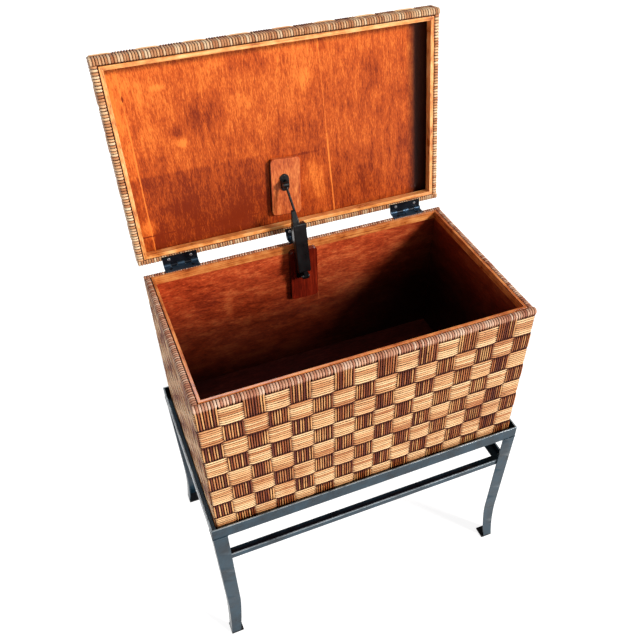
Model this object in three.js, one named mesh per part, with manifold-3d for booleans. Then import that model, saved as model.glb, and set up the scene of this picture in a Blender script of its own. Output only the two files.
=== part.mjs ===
// Woven storage trunk with a hinged lid, standing in an angle-iron tray frame.
// Millimetres, +Z up. X runs along the trunk, -Y is its front, Z = 0 is the floor.
import * as THREE from 'three';
import { mergeVertices } from 'three/addons/utils/BufferGeometryUtils.js';
import Module from 'manifold-3d';

const wasm = await Module();
wasm.setup();

// ---- driving dimensions -------------------------------------------------
const GAP = 0.3; // space left between touching pieces
const WIDTH = 710; // trunk outside, woven faces
const DEPTH = 420;
const RIM = 800; // height of the trunk's rim above the floor
const WEAVE = 4; // thickness of the woven skin
const WALL = 20; // woven face to the inside of the trunk
const LIP_THICK = 6;
const LIP_HEIGHT = 18;
const INSIDE_DEPTH = 334; // rim down to the floor panel
const FLOOR_THICK = 9;
const BATTEN = 20;

const LID_WIDTH = 716;
const LID_DEPTH = 421;
const LID_HEIGHT = 44;
const LID_RECESS = 30.4;
const LID_LIP_THICK = 8;
const LID_BACK_INSET = 2; // lid's back edge in front of the trunk's back face
const LID_CLOSED_GAP = 9; // rim to rim with the lid shut
const LID_OPEN = 99.14; // degrees, the rest pose

const STEEL = 3; // angle-iron wall
const RAIL = 32; // rail and leg flange
const TRAY_MARGIN = 13; // rail's outer face outside the woven face
const TRAY_TOP = 447.5;
const STRETCHER_UP = 15; // standing flange of the stretchers
const STRETCHER_IN = 25; // lying flange
const STRETCHER_TOP = 333;
const LEG_KINK = 132; // height where the legs turn outward
const LEG_LEAN = 5; // inward offset at the kink
const LEG_FLARE = -2; // inward offset at the floor
const LEG_KINK_FLANGE = 30;
const LEG_FOOT_FLANGE = 23;
const FOOT = 30;
const FOOT_THICK = 4;

const HINGES = {
  left: { x: -270, length: 76, spread: 24 },
  middle: { x: -8, length: 40, spread: 11.5 },
  right: { x: 270, length: 76, spread: 24 },
};
const HINGE_LEAF = 2;
const HINGE_REACH = 19.5; // pin centre to the leaf's far edge
const PIN_BEHIND = 6.5; // pin centre behind the trunk's back face
const PIN_UP = LID_CLOSED_GAP / 2;
const PIN_R = 1.9;
const KNUCKLE_R = 3.9;
const KNUCKLES = 5;
const SCREW_R = 1.8;
const SCREW_LENGTH = 13;
const SCREW_FROM_PIN = 12.5;

const STAY_X = -9; // plane in which the stay's arm folds
const STAY_TOP_X = -15; // the rod's eye at the lid
const ARM_PIVOT = { y: 362.9, z: -63.4 }; // from the front face, from the rim
const ARM_LENGTH = 119.1;
const ARM_ANGLE = 77.1; // degrees from +Y at rest
const ROD_LENGTH = 93.6;
const ROD_ANGLE = 48.6;
const STAY_PIN_R = 2.5;
const EYE_PLAY = 1.5; // play of the rod's eye round the lid bracket's pin
const BLOCK_THICK = 12;

const PIN_Y = DEPTH + PIN_BEHIND;
const PIN_Z = RIM + PIN_UP;
const BOX_BOTTOM = TRAY_TOP - RAIL + STEEL + GAP;
const rad = THREE.MathUtils.degToRad;

// ---- materials ----------------------------------------------------------
const paint = (color, roughness, metalness) =>
  new THREE.MeshStandardMaterial({ color, roughness, metalness });
const RATTAN = paint(0xc08a54, 0.55, 0);
const BINDING = paint(0xcf9a72, 0.45, 0);
const PLYWOOD = paint(0x9a3f17, 0.4, 0);
const TIMBER = paint(0xd9853f, 0.4, 0);
const GUNMETAL = paint(0x4a5f6d, 0.45, 0.7);
const BLUED = paint(0x1c2730, 0.35, 0.8);
const BLACK = paint(0x0b0c0e, 0.35, 0.3);
const SILVER = paint(0xd5d8da, 0.25, 0.9);

// ---- helpers ------------------------------------------------------------
function toSolid(geometry) {
  let bare = geometry.index ? geometry.toNonIndexed() : geometry.clone();
  bare.deleteAttribute('normal');
  bare.deleteAttribute('uv');
  bare = mergeVertices(bare, 1e-4);
  return new wasm.Manifold(new wasm.Mesh({
    numProp: 3,
    vertProperties: new Float32Array(bare.attributes.position.array),
    triVerts: new Uint32Array(bare.index.array),
  }));
}

function toGeometry(solid) {
  const mesh = solid.getMesh();
  const geometry = new THREE.BufferGeometry();
  geometry.setAttribute('position', new THREE.BufferAttribute(mesh.vertProperties, 3));
  geometry.setIndex(new THREE.BufferAttribute(mesh.triVerts, 1));
  geometry.computeVertexNormals();
  return geometry;
}

function block(x0, x1, y0, y1, z0, z1) {
  const geometry = new THREE.BoxGeometry(x1 - x0, y1 - y0, z1 - z0);
  return geometry.translate((x0 + x1) / 2, (y0 + y1) / 2, (z0 + z1) / 2);
}

// A cylinder along X, Y or Z, centred on (x, y, z).
function rod(axis, radius, length, x, y, z, sides = 24) {
  const geometry = new THREE.CylinderGeometry(radius, radius, length, sides);
  if (axis === 'x') geometry.rotateZ(Math.PI / 2);
  if (axis === 'z') geometry.rotateX(Math.PI / 2);
  return geometry.translate(x, y, z);
}

// A rectangular ring lying flat, inset from a width and a depth centred on X = 0.
function ring(width, front, back, inset, thick, z0, z1) {
  const outer = block(-width / 2 + inset, width / 2 - inset, front + inset, back - inset, z0, z1);
  const far = inset + thick;
  const inner = block(-width / 2 + far, width / 2 - far, front + far, back - far, z0 - 1, z1 + 1);
  return toSolid(outer).subtract(toSolid(inner));
}

function polygon(points) {
  return new THREE.Shape(points.map(([x, y]) => new THREE.Vector2(x, y)));
}

// Extrudes a Y-Z outline along X between x0 and x1.
function alongX(shape, x0, x1, bevel = 0) {
  const geometry = new THREE.ExtrudeGeometry(shape, {
    depth: x1 - x0 - 2 * bevel,
    bevelEnabled: bevel > 0,
    bevelThickness: bevel,
    bevelSize: bevel,
    bevelOffset: -bevel,
    bevelSegments: 2,
    curveSegments: 8,
  });
  geometry.translate(0, 0, x0 + bevel);
  const turn = new THREE.Matrix4().makeBasis(
    new THREE.Vector3(0, 1, 0), new THREE.Vector3(0, 0, 1), new THREE.Vector3(1, 0, 0));
  return geometry.applyMatrix4(turn);
}

function roundedRect(width, height, radius) {
  const x = width / 2;
  const y = height / 2;
  const shape = new THREE.Shape();
  shape.moveTo(-x + radius, -y);
  shape.lineTo(x - radius, -y);
  shape.absarc(x - radius, -y + radius, radius, -Math.PI / 2, 0, false);
  shape.lineTo(x, y - radius);
  shape.absarc(x - radius, y - radius, radius, 0, Math.PI / 2, false);
  shape.lineTo(-x + radius, y);
  shape.absarc(-x + radius, y - radius, radius, Math.PI / 2, Math.PI, false);
  shape.lineTo(-x, -y + radius);
  shape.absarc(-x + radius, -y + radius, radius, Math.PI, 1.5 * Math.PI, false);
  return shape;
}

function addMesh(group, name, shape, material) {
  const geometry = shape.isBufferGeometry ? shape : toGeometry(shape);
  const mesh = new THREE.Mesh(geometry, material);
  mesh.name = name;
  group.add(mesh);
  return mesh;
}

// ---- trunk box ----------------------------------------------------------
const REBATE = WEAVE + GAP + 9.7; // thickness of the wall beside the lip

// Y-Z outline of a wall that is thinner beside the lip, outer face at 0.
function wallOutline() {
  const top = RIM - WEAVE - GAP;
  const step = RIM - LIP_HEIGHT - GAP;
  const outer = WEAVE + GAP;
  return polygon([[outer, BOX_BOTTOM], [WALL, BOX_BOTTOM], [WALL, step],
    [REBATE, step], [REBATE, top], [outer, top]]);
}

function addWalls(trunk) {
  const half = WIDTH / 2 - WEAVE - GAP;
  addMesh(trunk, 'wall_front', alongX(wallOutline(), -half, half), PLYWOOD);
  const back = alongX(wallOutline(), -half, half);
  back.rotateZ(Math.PI).translate(0, DEPTH, 0);
  addMesh(trunk, 'wall_back', back, PLYWOOD);
  const run = DEPTH - 2 * (WALL + GAP);
  for (const [name, side] of [['wall_left', -1], ['wall_right', 1]]) {
    const wall = alongX(wallOutline(), -run / 2, run / 2);
    wall.rotateZ(side * Math.PI / 2);
    wall.translate(side * WIDTH / 2, DEPTH / 2, 0);
    addMesh(trunk, name, wall, PLYWOOD);
  }
}

function addFloor(trunk) {
  const x = WIDTH / 2 - WALL - GAP;
  const top = RIM - INSIDE_DEPTH;
  const low = top - FLOOR_THICK;
  const front = WALL + GAP;
  const panel = block(-x, x, front, DEPTH - front, low, top);
  addMesh(trunk, 'floor_panel', panel, PLYWOOD);
  for (const [name, side] of [['floor_batten_left', -1], ['floor_batten_right', 1]]) {
    const batten = block(x - BATTEN, x, front, DEPTH - front, low - GAP - BATTEN, low - GAP);
    if (side < 0) batten.rotateZ(Math.PI).translate(0, DEPTH, 0);
    addMesh(trunk, name, batten, TIMBER);
  }
}

function addTrunkSkin(trunk) {
  const top = RIM - WEAVE - GAP;
  const x = WIDTH / 2;
  const y = WEAVE + GAP;
  addMesh(trunk, 'weave_front', block(-x, x, 0, WEAVE, BOX_BOTTOM, top), RATTAN);
  addMesh(trunk, 'weave_back', block(-x, x, DEPTH - WEAVE, DEPTH, BOX_BOTTOM, top), RATTAN);
  addMesh(trunk, 'weave_left', block(-x, -x + WEAVE, y, DEPTH - y, BOX_BOTTOM, top), RATTAN);
  addMesh(trunk, 'weave_right', block(x - WEAVE, x, y, DEPTH - y, BOX_BOTTOM, top), RATTAN);
  const binding = ring(WIDTH, 0, DEPTH, 0, REBATE, RIM - WEAVE, RIM);
  addMesh(trunk, 'rim_binding', binding, BINDING);
  const lip = ring(WIDTH, 0, DEPTH, REBATE + GAP, LIP_THICK - GAP, RIM - LIP_HEIGHT, RIM);
  addMesh(trunk, 'rim_lip', lip, TIMBER);
}

// ---- stand --------------------------------------------------------------
// An angle with its corner at the origin, one flange up and one lying inward (+Y),
// cut to a 45 degree mitre at both ends. half is measured at the outer face.
function mitredAngle(half, up, inward) {
  const outline = polygon([[0, 0], [inward, 0], [inward, STEEL], [STEEL, STEEL], [STEEL, up], [0, up]]);
  const geometry = alongX(outline, -1, 1);
  const place = geometry.attributes.position;
  for (let i = 0; i < place.count; i += 1) {
    place.setX(i, Math.sign(place.getX(i)) * (half - GAP - place.getY(i)));
  }
  return geometry;
}

// Four mitred angles round a rectangle whose outer faces are at x and y0..y1.
function addAngleFrame(stand, word, x, y0, y1, low, up, inward) {
  const mid = (y0 + y1) / 2;
  const long = x;
  const short = (y1 - y0) / 2;
  const sides = [['front', long, 0, 0, -short], ['right', short, 1, long, 0],
    ['back', long, 2, 0, short], ['left', short, 3, -long, 0]];
  for (const [name, half, quarter, dx, dy] of sides) {
    const angle = mitredAngle(half, up, inward);
    angle.rotateZ(quarter * Math.PI / 2);
    angle.translate(dx, mid + dy, low);
    addMesh(stand, `${word}_${name}`, angle, GUNMETAL);
  }
}

// Inward offset and flange width of a leg at height z.
function legShape(z) {
  const top = TRAY_TOP - RAIL;
  const upper = z >= LEG_KINK;
  const t = upper ? (top - z) / (top - LEG_KINK) : (LEG_KINK - z) / LEG_KINK;
  const lean = upper ? LEG_LEAN * t : THREE.MathUtils.lerp(LEG_LEAN, LEG_FLARE, t * t);
  const width = upper ? THREE.MathUtils.lerp(RAIL, LEG_KINK_FLANGE, t)
    : THREE.MathUtils.lerp(LEG_KINK_FLANGE, LEG_FOOT_FLANGE, t);
  return { lean, width };
}

// A leg with its corner towards -X and -Y, before it is mirrored into place.
function legGeometry() {
  const base = FOOT_THICK + GAP;
  const height = TRAY_TOP - RAIL - GAP - base;
  const angle = polygon([[0, 0], [1, 0], [1, STEEL], [STEEL, STEEL], [STEEL, 1], [0, 1]]
    .map(([u, v]) => [u === 1 ? RAIL : u, v === 1 ? RAIL : v]));
  const geometry = new THREE.ExtrudeGeometry(angle, { depth: height, steps: 22, bevelEnabled: false });
  geometry.translate(0, 0, base);
  const place = geometry.attributes.position;
  for (let i = 0; i < place.count; i += 1) {
    const { lean, width } = legShape(place.getZ(i));
    const u = place.getX(i);
    const v = place.getY(i);
    place.setX(i, lean + (u > STEEL ? width : u));
    place.setY(i, lean + (v > STEEL ? width : v));
  }
  return geometry;
}

function addLegs(stand) {
  const x = WIDTH / 2 + TRAY_MARGIN;
  const corners = [['front_left', -x, -TRAY_MARGIN, 0], ['front_right', x, -TRAY_MARGIN, 1],
    ['back_right', x, DEPTH + TRAY_MARGIN, 2], ['back_left', -x, DEPTH + TRAY_MARGIN, 3]];
  for (const [name, cx, cy, quarter] of corners) {
    const leg = legGeometry();
    leg.rotateZ(quarter * Math.PI / 2);
    leg.translate(cx, cy, 0);
    addMesh(stand, `leg_${name}`, leg, GUNMETAL);
    const foot = block(LEG_FLARE, LEG_FLARE + FOOT, LEG_FLARE, LEG_FLARE + FOOT, 0, FOOT_THICK);
    foot.rotateZ(quarter * Math.PI / 2);
    foot.translate(cx, cy, 0);
    addMesh(stand, `foot_plate_${name}`, foot, BLACK);
  }
}

function addStand(root) {
  const x = WIDTH / 2 + TRAY_MARGIN;
  const back = DEPTH + TRAY_MARGIN;
  addAngleFrame(root, 'rail', x, -TRAY_MARGIN, back, TRAY_TOP - RAIL, RAIL, RAIL);
  addLegs(root);
  const inset = STEEL + legShape(STRETCHER_TOP - STRETCHER_UP).lean + 2 * GAP;
  addAngleFrame(root, 'stretcher', x - inset, inset - TRAY_MARGIN, back - inset,
    STRETCHER_TOP - STRETCHER_UP, STRETCHER_UP, STRETCHER_IN);
}

// ---- hinges, drawn about the pin with the lid shut ------------------------
// up is 1 for the lid's leaf, which lies above the pin, and -1 for the trunk's.
// A leaf follows the barrel closely where the other leaf's knuckles are.
function leafSolid(up, length, spread) {
  const face = PIN_UP - GAP;
  const zs = [up * face, up * (face - HINGE_LEAF)].sort((a, b) => a - b);
  const half = length / 2;
  const pitch = length / KNUCKLES;
  let leaf = toSolid(block(-half, half, -HINGE_REACH, 0, zs[0], zs[1]));
  for (let k = 0; k < KNUCKLES; k += 1) {
    const mine = (k % 2 === 0) === (up < 0);
    const side = mine ? 0.25 : -0.25;
    const x0 = -half + k * pitch + side;
    const x1 = -half + (k + 1) * pitch - side;
    const middle = (x0 + x1) / 2;
    const barrel = rod('x', mine ? KNUCKLE_R : KNUCKLE_R + 0.35, x1 - x0, middle, 0, 0);
    leaf = mine ? leaf.add(toSolid(barrel)) : leaf.subtract(toSolid(barrel));
  }
  leaf = leaf.subtract(toSolid(rod('x', PIN_R + GAP, length + 2, 0, 0, 0)));
  for (const side of [-1, 1]) {
    const hole = rod('z', SCREW_R + GAP, 30, side * spread, -SCREW_FROM_PIN, 0, 16);
    leaf = leaf.subtract(toSolid(hole));
  }
  return leaf;
}

// A pan-head screw whose head bears on the lid leaf, shank running up into the lid.
function screwSolid(x) {
  const seat = PIN_UP - GAP - HINGE_LEAF - GAP;
  const head = 1.7;
  const points = [[0, -head], [2.2, -head], [3.3, -0.8], [3.4, 0], [SCREW_R, 0],
    [SCREW_R, SCREW_LENGTH - 3], [0, SCREW_LENGTH]];
  const turned = new THREE.LatheGeometry(points.map(([r, z]) => new THREE.Vector2(r, z)), 16);
  turned.rotateX(Math.PI / 2);
  return turned.translate(x, -SCREW_FROM_PIN, seat);
}

function addHinges(trunk, lid) {
  for (const [name, { x, length, spread }] of Object.entries(HINGES)) {
    const leaf = addMesh(trunk, `hinge_${name}_trunk_leaf`, leafSolid(-1, length, spread), BLUED);
    leaf.position.set(x, PIN_Y, PIN_Z);
    const pin = addMesh(trunk, `hinge_${name}_pin`, rod('x', PIN_R, length, 0, 0, 0, 20), BLUED);
    pin.position.set(x, PIN_Y, PIN_Z);
    const lidLeaf = addMesh(lid, `hinge_${name}_lid_leaf`, leafSolid(1, length, spread), BLUED);
    lidLeaf.position.set(x, 0, 0);
    for (const [word, side] of [['a', -1], ['b', 1]]) {
      const screw = screwSolid(x + side * spread);
      addMesh(lid, `hinge_${name}_screw_${word}`, screw, SILVER);
    }
  }
}

// ---- lid, drawn shut and measured from the hinge pin ----------------------
const LID_Z = LID_CLOSED_GAP - PIN_UP; // the lid's rim plane above the pin
const LID_BACK = -PIN_BEHIND - LID_BACK_INSET;
const LID_FRONT = LID_BACK - LID_DEPTH;

function lidBox(inset, low, high) {
  const x = LID_WIDTH / 2 - inset;
  return block(-x, x, LID_FRONT + inset, LID_BACK - inset, LID_Z + low, LID_Z + high);
}

function lidRing(inset, thick, low, high) {
  return ring(LID_WIDTH, LID_FRONT, LID_BACK, inset, thick, LID_Z + low, LID_Z + high);
}

function drillForScrews(solid) {
  let drilled = solid;
  for (const { x, spread } of Object.values(HINGES)) {
    for (const side of [-1, 1]) {
      const hole = rod('z', SCREW_R + GAP, 40, x + side * spread, -SCREW_FROM_PIN, 10, 16);
      drilled = drilled.subtract(toSolid(hole));
    }
  }
  return drilled;
}

function addLidShell(lid) {
  const cap = toSolid(lidBox(0, WEAVE + GAP, LID_HEIGHT));
  const hollow = toSolid(lidBox(WEAVE, 0, LID_HEIGHT - WEAVE));
  addMesh(lid, 'lid_weave', drillForScrews(cap.subtract(hollow)), RATTAN);
  addMesh(lid, 'lid_panel', lidBox(WEAVE + GAP, LID_RECESS, LID_HEIGHT - WEAVE - GAP), PLYWOOD);
  const boards = lidRing(WEAVE + GAP, REBATE - WEAVE - GAP, WEAVE + GAP, LID_RECESS - GAP);
  addMesh(lid, 'lid_frame', drillForScrews(boards), PLYWOOD);
  addMesh(lid, 'lid_binding', drillForScrews(lidRing(0, REBATE, 0, WEAVE)), BINDING);
  addMesh(lid, 'lid_lip', lidRing(REBATE + GAP, LID_LIP_THICK - GAP, 0, LIP_HEIGHT), TIMBER);
}

// ---- folding stay ---------------------------------------------------------
const TRUNK_BLOCK = { x: -2.5, top: -10, width: 66, height: 135, tilt: 0 };
const LID_BLOCK = { x: -9.5, along: 101, width: 68, height: 127, tilt: -4 };
const BLOCK_ROUND = 9;
const LUG_THICK = 2.6;
const PLATE = 2.5;

function blockGeometry({ width, height }) {
  return new THREE.ExtrudeGeometry(roundedRect(width - 2, height - 2, BLOCK_ROUND - 1), {
    depth: BLOCK_THICK - 1.2, bevelThickness: 0.6, bevelSize: 1, bevelSegments: 1, curveSegments: 6,
  }).translate(0, 0, 0.6);
}

// Two lugs standing on a plate, pin axis along X at height reach above the plate's foot.
// Local frame: X across, Y up the plate, Z away from it.
function bracketSolid(reach, plateShape, lugX, inner, lugHeight, eye) {
  let bracket = toSolid(new THREE.ExtrudeGeometry(plateShape, {
    depth: PLATE, bevelEnabled: false, curveSegments: 8,
  }));
  const lug = new THREE.Shape();
  lug.moveTo(-lugHeight / 2, PLATE - 0.5);
  lug.lineTo(lugHeight / 2, PLATE - 0.5);
  lug.lineTo(eye, reach);
  lug.absarc(0, reach, eye, 0, Math.PI, false);
  for (const side of [-1, 1]) {
    const x0 = side > 0 ? lugX + inner : lugX - inner - LUG_THICK;
    bracket = bracket.add(toSolid(alongX(lug, x0, x0 + LUG_THICK)));
  }
  return bracket.subtract(toSolid(rod('x', STAY_PIN_R + GAP, 60, lugX, 0, reach)));
}

function addTrunkStayFittings(trunk) {
  const face = DEPTH - WALL - GAP; // the block's back
  const upright = new THREE.Group();
  upright.rotation.x = Math.PI / 2;
  upright.position.set(TRUNK_BLOCK.x, face, RIM + TRUNK_BLOCK.top - TRUNK_BLOCK.height / 2);
  trunk.add(upright);
  addMesh(upright, 'stay_block_trunk', blockGeometry(TRUNK_BLOCK), PLYWOOD);

  const plateFoot = face - BLOCK_THICK - GAP;
  const seat = new THREE.Group();
  seat.rotation.x = Math.PI / 2;
  seat.position.set(STAY_X, plateFoot, RIM + ARM_PIVOT.z);
  trunk.add(seat);
  const reach = plateFoot - ARM_PIVOT.y;
  const bracket = bracketSolid(reach, roundedRect(26, 40, 5), 0, 5, 18, 6.5);
  addMesh(seat, 'stay_bracket_trunk', bracket, BLACK);
  addMesh(seat, 'stay_pin_trunk', rod('x', STAY_PIN_R, 18, 0, 0, reach, 20), SILVER);
}

// In the lid's frame the recess faces down (-Z) and "along" runs from the back edge to the front.
function addLidStayFittings(lid, eye) {
  const under = LID_Z + LID_RECESS - GAP;
  const hanging = new THREE.Group();
  hanging.rotation.x = Math.PI;
  hanging.position.set(LID_BLOCK.x, LID_BACK - LID_BLOCK.along, under);
  lid.add(hanging);
  const board = addMesh(hanging, 'stay_block_lid', blockGeometry(LID_BLOCK), PLYWOOD);
  board.rotation.z = rad(LID_BLOCK.tilt);

  const plateFoot = under - BLOCK_THICK - GAP;
  const seat = new THREE.Group();
  seat.rotation.x = Math.PI;
  seat.position.set(STAY_TOP_X, eye.y, plateFoot);
  lid.add(seat);
  const reach = plateFoot - eye.z;
  const plate = roundedRect(20, 38, 9.9);
  const bracket = toGeometry(bracketSolid(reach, plate, -3, 3.5, 14, 6));
  bracket.translate(3, 0, 0);
  addMesh(seat, 'stay_bracket_lid', bracket, BLACK);
  addMesh(seat, 'stay_pin_lid', rod('x', STAY_PIN_R, 13, 0, 0, reach, 20), SILVER);
}

// The arm in its own frame: pivot at the origin, elbow at +Y, +Z towards the front.
function armSolid() {
  const body = new THREE.Shape();
  body.moveTo(16, -8);
  body.lineTo(ARM_LENGTH + 5, -9.5);
  body.quadraticCurveTo(ARM_LENGTH + 9, -9, ARM_LENGTH + 9, -5);
  body.lineTo(ARM_LENGTH + 9, 5);
  body.quadraticCurveTo(ARM_LENGTH + 9, 9, ARM_LENGTH + 5, 9.5);
  body.lineTo(16, 8);
  body.quadraticCurveTo(12, 7, 12, 4);
  body.lineTo(12, -4);
  body.quadraticCurveTo(12, -7, 16, -8);
  const tang = new THREE.Shape();
  tang.absarc(0, 0, 7, Math.PI / 2, 1.5 * Math.PI, false);
  tang.lineTo(20, -7);
  tang.lineTo(20, 7);
  const finger = polygon([[ARM_LENGTH - 4, -8], [ARM_LENGTH + 14, -6.5], [ARM_LENGTH + 38, 0],
    [ARM_LENGTH + 41, 2.5], [ARM_LENGTH + 38, 5.5], [ARM_LENGTH + 14, 9], [ARM_LENGTH - 4, 9.5]]);
  let arm = toSolid(alongX(body, -17, 13, 2.2));
  arm = arm.add(toSolid(alongX(tang, -4.5, 4.5)));
  arm = arm.add(toSolid(alongX(finger, -16, -5.4, 1.2)));
  arm = arm.subtract(toSolid(block(-4.2, 4.2, ARM_LENGTH - 12, ARM_LENGTH + 12, -12, 7)));
  arm = arm.subtract(toSolid(rod('x', STAY_PIN_R + GAP, 40, 0, 0, 0)));
  arm = arm.subtract(toSolid(rod('x', STAY_PIN_R + GAP, 40, 0, ARM_LENGTH, 0)));
  return arm;
}

// The rod in its own frame: elbow eye at the origin, lid eye at +Y and shifted along X.
function rodSolid() {
  const shift = STAY_TOP_X - STAY_X;
  const length = Math.hypot(ROD_LENGTH, shift);
  const shaft = rod('y', 2.8, length - 9, 0, length / 2, 0, 16);
  shaft.rotateZ(Math.atan2(-shift, ROD_LENGTH));
  let link = toSolid(shaft);
  link = link.add(toSolid(rod('x', 6.5, 7.6, 0, 0, 0)));
  link = link.add(toSolid(rod('x', 6.8, 6.2, shift, ROD_LENGTH, 0)));
  link = link.subtract(toSolid(rod('x', STAY_PIN_R + GAP, 12, 0, 0, 0)));
  return link.subtract(toSolid(rod('x', STAY_PIN_R + EYE_PLAY, 12, shift, ROD_LENGTH, 0)));
}

function addStayLinks(root) {
  const arm = new THREE.Group();
  arm.position.set(STAY_X, ARM_PIVOT.y, RIM + ARM_PIVOT.z);
  arm.rotation.x = rad(ARM_ANGLE);
  root.add(arm);
  addMesh(arm, 'stay_arm', armSolid(), BLACK);
  const pin = addMesh(arm, 'stay_elbow_pin', rod('x', STAY_PIN_R, 21.6, 0, 0, 0, 20), SILVER);
  pin.position.set(0, ARM_LENGTH, 0);
  const link = new THREE.Group();
  link.position.set(0, ARM_LENGTH, 0);
  link.rotation.x = rad(ROD_ANGLE - ARM_ANGLE);
  arm.add(link);
  addMesh(link, 'stay_rod', rodSolid(), BLACK);
}

// Where the rod's upper eye lies at rest, from the hinge pin, turned back to the shut lid.
function lidEye() {
  const y = ARM_PIVOT.y + ARM_LENGTH * Math.cos(rad(ARM_ANGLE)) + ROD_LENGTH * Math.cos(rad(ROD_ANGLE));
  const z = ARM_PIVOT.z + ARM_LENGTH * Math.sin(rad(ARM_ANGLE)) + ROD_LENGTH * Math.sin(rad(ROD_ANGLE));
  const open = new THREE.Vector2(y - PIN_Y, z - PIN_UP);
  const shut = open.rotateAround(new THREE.Vector2(0, 0), rad(LID_OPEN));
  return { y: shut.x, z: shut.y };
}

// ---- assembly -------------------------------------------------------------
// The furthest point behind: the open lid's top back edge.
function openLidReach() {
  const corner = new THREE.Vector2(LID_FRONT, LID_Z + LID_HEIGHT);
  corner.rotateAround(new THREE.Vector2(0, 0), rad(-LID_OPEN));
  return PIN_Y + corner.x;
}

function buildTrunk() {
  const model = new THREE.Group();
  const foremost = LEG_FLARE - TRAY_MARGIN;
  model.position.y = -(foremost + openLidReach()) / 2;
  addWalls(model);
  addFloor(model);
  addTrunkSkin(model);
  addStand(model);
  const lid = new THREE.Group();
  lid.position.set(0, PIN_Y, PIN_Z);
  lid.rotation.x = rad(-LID_OPEN);
  model.add(lid);
  addLidShell(lid);
  addHinges(model, lid);
  addTrunkStayFittings(model);
  addLidStayFittings(lid, lidEye());
  addStayLinks(model);
  return model;
}

export default buildTrunk();
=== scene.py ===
"""Woven storage trunk on an angle-iron stand: its looks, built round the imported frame.

Metres, +Z up, -Y is the front. The skin is made of single rattan strands: bundles of
eight that run round the trunk in rows and pass over and under bundles of eight columns,
which carry on over the rim as its binding. The lid is woven in the same way.
"""

import math

import bpy
import numpy as np
from mathutils import Matrix, Vector


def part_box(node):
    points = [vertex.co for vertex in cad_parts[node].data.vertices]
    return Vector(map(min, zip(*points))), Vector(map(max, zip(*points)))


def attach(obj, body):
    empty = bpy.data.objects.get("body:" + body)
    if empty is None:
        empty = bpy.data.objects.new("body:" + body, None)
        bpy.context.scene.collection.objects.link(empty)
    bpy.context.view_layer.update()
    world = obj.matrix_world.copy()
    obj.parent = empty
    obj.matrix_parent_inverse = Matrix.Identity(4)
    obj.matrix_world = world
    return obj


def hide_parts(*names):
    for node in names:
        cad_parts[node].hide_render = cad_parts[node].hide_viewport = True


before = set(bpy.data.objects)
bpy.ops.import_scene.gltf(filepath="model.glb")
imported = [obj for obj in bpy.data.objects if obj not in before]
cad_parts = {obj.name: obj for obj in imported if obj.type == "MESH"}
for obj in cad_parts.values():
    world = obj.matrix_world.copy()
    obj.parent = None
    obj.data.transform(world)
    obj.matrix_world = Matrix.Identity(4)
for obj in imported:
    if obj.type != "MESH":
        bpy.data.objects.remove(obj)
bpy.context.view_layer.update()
SCENE = bpy.context.scene
MM = 0.001
RANDOM = np.random.default_rng(11)

# ---- places, taken from the frame ----
LEFT, FRONT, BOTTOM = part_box("weave_front")[0]
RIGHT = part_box("weave_front")[1].x
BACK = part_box("weave_back")[1].y
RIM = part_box("rim_binding")[1].z
MIDDLE_Y = (FRONT + BACK) / 2
PIN_LOW, PIN_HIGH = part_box("hinge_middle_pin")
PIN = Vector((0, (PIN_LOW.y + PIN_HIGH.y) / 2, (PIN_LOW.z + PIN_HIGH.z) / 2))

# ---- weave ----
COLUMNS = 16  # bundles across the front, and across the lid
SIDE_COLUMNS = 9
ROWS = 8
STRANDS = 8  # strands in a bundle
ROW_PITCH = 45.35 * MM
FIRST_ROW_END = 60 * MM  # below the rim
BAND = FIRST_ROW_END - ROW_PITCH  # rim to the first row's top
MID_DEPTH = 1.8 * MM  # middle of the weave below the outer face
SWING = 1.15 * MM  # how far a strand rises and dips from there
BAND_LIFT = 0.65  # share of the swing on the binding
DIVE = 4.3 * MM  # how gently a strand changes level
RIM_DIVE = 4 * MM  # the same, where it comes up to bind the rim
JITTER = 0.12 * MM  # chance differences in depth
FOOT = 0.8 * MM  # columns' lower ends, above the weave's lower edge
TIP = 0.55  # how slender a strand ends
CORNER_ROUND = 6 * MM
RIM_ROUND = 7 * MM
GROOVE_ROUND = 2.5 * MM
BINDING_IN = 12.2 * MM  # binding's inner ends, from the outer face
BINDING_DOWN = 4.4 * MM
MITRE = BINDING_IN + 1.5 * MM  # strands nearer to a corner than this stop short on the rim
ROW_STRAND = (2.42 * MM, 1.25 * MM)  # half width, half thickness
COLUMN_STRAND = (1.82 * MM, 1.3 * MM)
BOUND = 1.46  # how much wider a strand lies on the binding
CORE_STRAND = (1.7 * MM, 0.9 * MM)
SECTION = np.radians([0, 36, 72, 108, 144, 180, 236, 304])
CROWN = 2.5 / 8  # where a strand's top is, as a share of the way round its section
CORE_INSET = np.array([5.6, 8.8, 11.9]) * MM  # strands under the binding, from the outer face
CORE_DOWN = 3.4 * MM  # and from the rim
WALL = 14 * MM  # from the weave's outer face to a wall's inner face

# The lid when shut, from the hinge pin.
LID_OPEN = math.radians(99.14)
LID_HALF = (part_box("lid_weave")[1].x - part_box("lid_weave")[0].x) / 2
LID_BACK, LID_FRONT = -8.5 * MM, -429.5 * MM
LID_LOW, LID_TOP = 4.5 * MM, 48.5 * MM
LID_ROUND = 6 * MM
LID_ROWS = 9
LID_BAND = 27 * MM  # how far the binding comes down the lid's edge
LID_RING = 3  # strands that run round the lid's edge
LID_RING_PITCH = 5.3 * MM
LID_RING_LEAN = [0, 0, 0.8 * MM]  # how much deeper each of them lies
LID_TO_ROW = Matrix.Translation(PIN) @ Matrix.Rotation(-LID_OPEN, 4, "X")


def rgb(red, green, blue):
    """A colour given as 0 to 255 on screen, as Blender's linear colour."""
    return tuple(((c / 255 + 0.055) / 1.055) ** 2.4 for c in (red, green, blue)) + (1.0,)


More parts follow.
